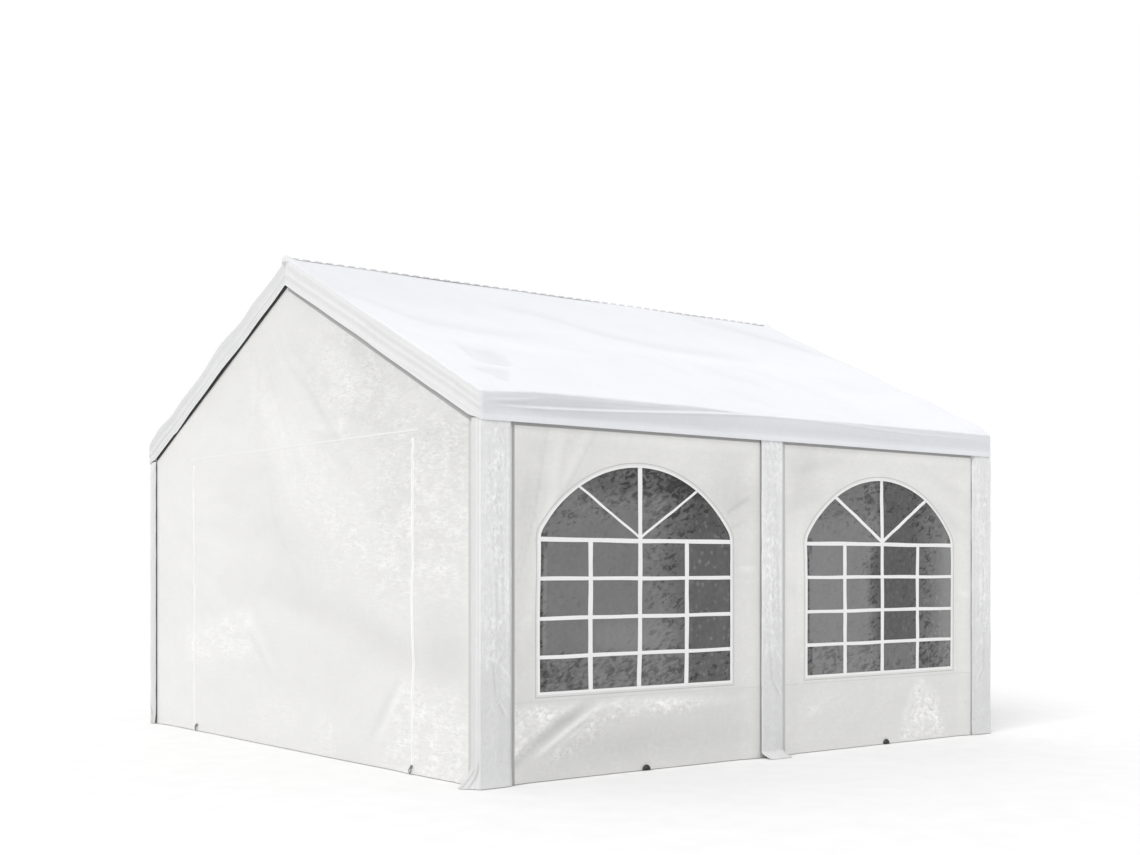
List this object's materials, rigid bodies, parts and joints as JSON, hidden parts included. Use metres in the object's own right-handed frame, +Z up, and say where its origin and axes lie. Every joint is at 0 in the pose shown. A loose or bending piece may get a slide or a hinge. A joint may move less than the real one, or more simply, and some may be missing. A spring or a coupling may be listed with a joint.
{
  "type": "marquee tent",
  "caption": "Gabled marquee tent: a plugged steel tube frame under a sewn roof cover with leg sleeves, zipped gable doors and arched film windows.",
  "frame": {"origin": "centre of the tent's ground outline, at ground level", "axes": "+Z up, -Y out of the front gable, +X to the right of someone who faces the tent's rear from its front"},
  "size_m": [4, 4, 2.88],
  "materials": {
    "steel_tube": "galvanised grey, satin",
    "steel_fitting": "galvanised grey, satin",
    "roof_fabric": "white coated polyethylene cloth, slight sheen",
    "sleeve_fabric": "white coated polyethylene cloth, slight sheen",
    "wall_fabric": "white woven coated polyethylene cloth, crinkled",
    "window_film": "clear film that looks dark from outside, with white glazing bars"
  },
  "bodies": {
    "root": {"foot_front_left": "steel_fitting", "foot_front_right": "steel_fitting", "foot_middle_left": "steel_fitting", "foot_middle_right": "steel_fitting", "foot_rear_left": "steel_fitting", "foot_rear_right": "steel_fitting", "post_front_left": "steel_tube", "post_front_right": "steel_tube", "post_middle_left": "steel_tube", "post_middle_right": "steel_tube", "post_rear_left": "steel_tube", "post_rear_right": "steel_tube", "eave_rail_left_front": "steel_tube", "eave_rail_left_rear": "steel_tube", "eave_rail_right_front": "steel_tube", "eave_rail_right_rear": "steel_tube", "ridge_rail_front": "steel_tube", "ridge_rail_rear": "steel_tube", "rafter_front_left": "steel_tube", "rafter_front_right": "steel_tube", "rafter_middle_left": "steel_tube", "rafter_middle_right": "steel_tube", "rafter_rear_left": "steel_tube", "rafter_rear_right": "steel_tube", "eave_connector_front_left": "steel_fitting", "eave_connector_front_right": "steel_fitting", "ridge_connector_front": "steel_fitting", "eave_connector_middle_left": "steel_fitting", "eave_connector_middle_right": "steel_fitting", "ridge_connector_middle": "steel_fitting", "eave_connector_rear_left": "steel_fitting", "eave_connector_rear_right": "steel_fitting", "ridge_connector_rear": "steel_fitting", "roof_cover": "roof_fabric", "corner_sleeve_front_left": "sleeve_fabric", "corner_sleeve_front_right": "sleeve_fabric", "corner_sleeve_rear_left": "sleeve_fabric", "corner_sleeve_rear_right": "sleeve_fabric", "middle_sleeve_left": "sleeve_fabric", "middle_sleeve_right": "sleeve_fabric", "gable_wall_front": "wall_fabric", "door_panel_front": "wall_fabric", "gable_wall_rear": "wall_fabric", "door_panel_rear": "wall_fabric", "side_wall_left_front": "wall_fabric", "window_film_left_front": "window_film", "side_wall_left_rear": "wall_fabric", "window_film_left_rear": "window_film", "side_wall_right_front": "wall_fabric", "window_film_right_front": "window_film", "side_wall_right_rear": "wall_fabric", "window_film_right_rear": "window_film"}
  },
  "joints": []
}
